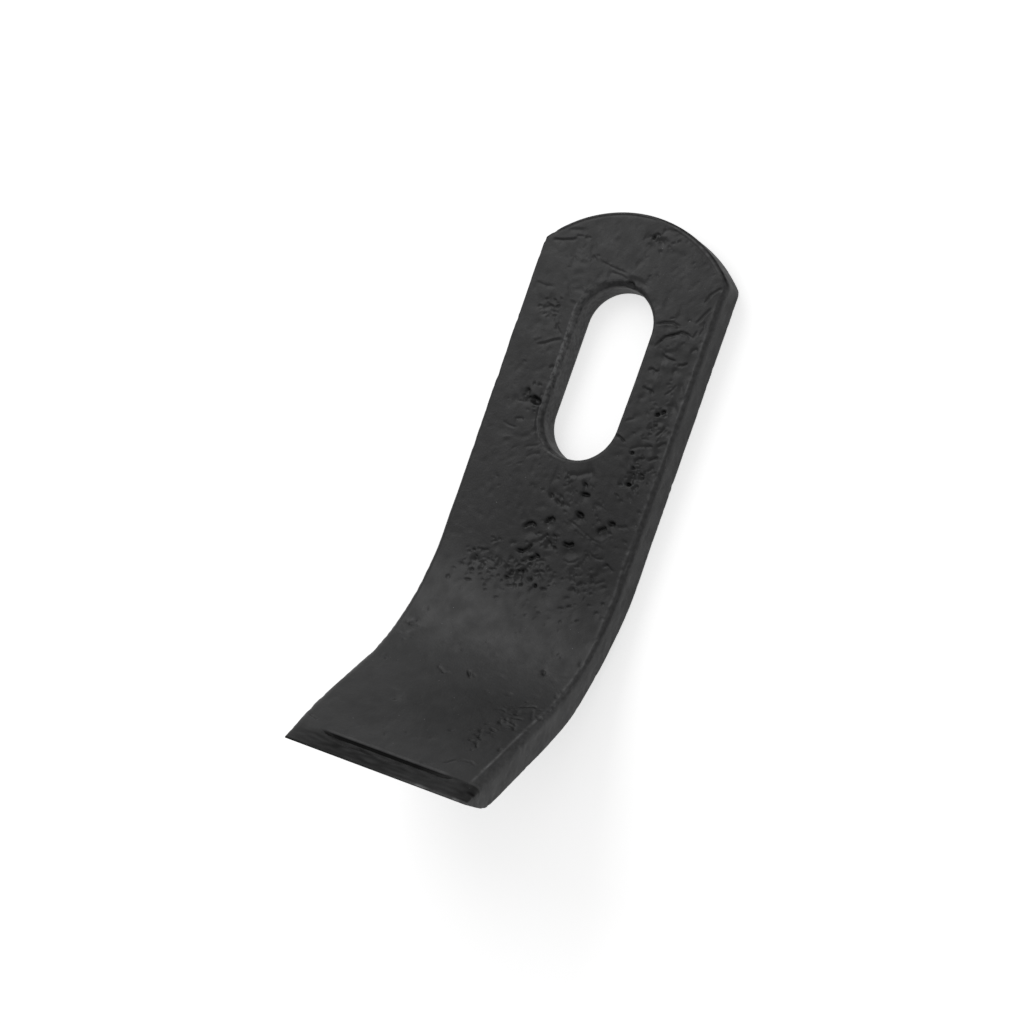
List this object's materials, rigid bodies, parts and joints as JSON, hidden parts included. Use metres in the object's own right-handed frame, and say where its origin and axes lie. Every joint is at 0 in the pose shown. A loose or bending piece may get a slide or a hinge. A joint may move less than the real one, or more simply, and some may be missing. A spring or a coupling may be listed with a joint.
{
  "type": "chopper knife",
  "caption": "Flat steel chopper knife with a domed, slotted head, a blade end bent forward to a bevelled cutting edge, and a dark worn surface.",
  "frame": {"origin": "centre of the bolt slot on the knife's flat back", "axes": "+Z out of the hollow front, along the bolt; +Y along the bar towards the domed head; +X across the bar's width"},
  "size_m": [0.05, 0.1456, 0.0506],
  "materials": {
    "painted_steel": "satin"
  },
  "bodies": {
    "root": {"chopper_knife": "painted_steel"}
  },
  "joints": []
}
